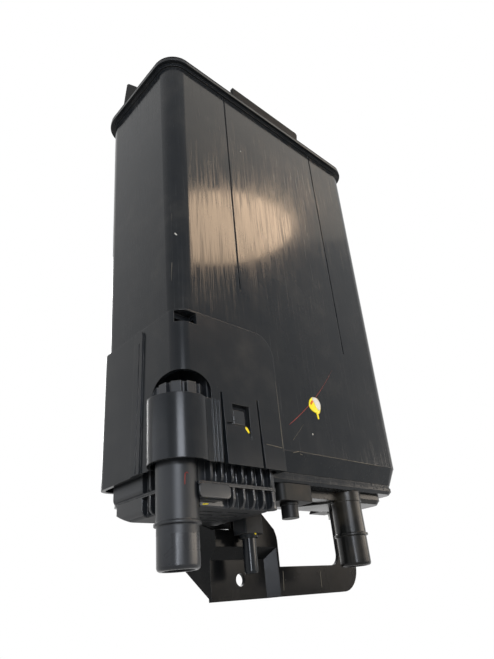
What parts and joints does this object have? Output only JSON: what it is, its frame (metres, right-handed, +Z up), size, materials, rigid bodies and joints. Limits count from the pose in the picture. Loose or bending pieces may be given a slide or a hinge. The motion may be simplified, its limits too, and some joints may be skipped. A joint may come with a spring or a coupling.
{
  "type": "charcoal canister",
  "caption": "Drafted black plastic canister with a welded cover, carbon beds inside, a plug-in air filter box with vent tube, a tank port, a purge nipple and a pressed steel hanger.",
  "frame": {"origin": "centre of the hanger's bolt hole, on the front of its pad", "axes": "+Z up from the ports to the cover, +X to the right along the wide front face, which looks along -Y"},
  "size_m": [0.2115, 0.094, 0.378],
  "materials": {
    "body_plastic": "satin moulded, scuffed",
    "cover_plastic": "satin moulded",
    "header_plastic": "satin moulded",
    "filter_plastic": "satin moulded",
    "lid_plastic": "satin moulded",
    "foam": "open-cell foam",
    "ring_rubber": "smooth",
    "cap_rubber": "smooth",
    "hanger_paint": "black e-coat, dusty",
    "screw_steel": "zinc plated",
    "carbon": "granules",
    "felt": "needled felt",
    "plate_plastic": "moulded",
    "spring_steel": "drawn wire"
  },
  "bodies": {
    "root": {"canister_body": "body_plastic", "end_cover": "cover_plastic", "port_header": "header_plastic", "filter_case": "filter_plastic", "filter_lid": "lid_plastic", "filter_element": "foam", "outlet_o_ring": "ring_rubber", "blanking_cap": "cap_rubber", "bracket": "hanger_paint", "bracket_screws": "screw_steel", "carbon_main": "carbon", "carbon_side": "carbon", "felt_main_lower": "felt", "felt_main_upper": "felt", "felt_side_lower": "felt", "felt_side_upper": "felt", "plate_main": "plate_plastic", "plate_side": "plate_plastic", "spring_main_1": "spring_steel", "spring_main_2": "spring_steel", "spring_main_3": "spring_steel", "spring_main_4": "spring_steel", "spring_side_1": "spring_steel", "spring_side_2": "spring_steel"}
  },
  "joints": []
}
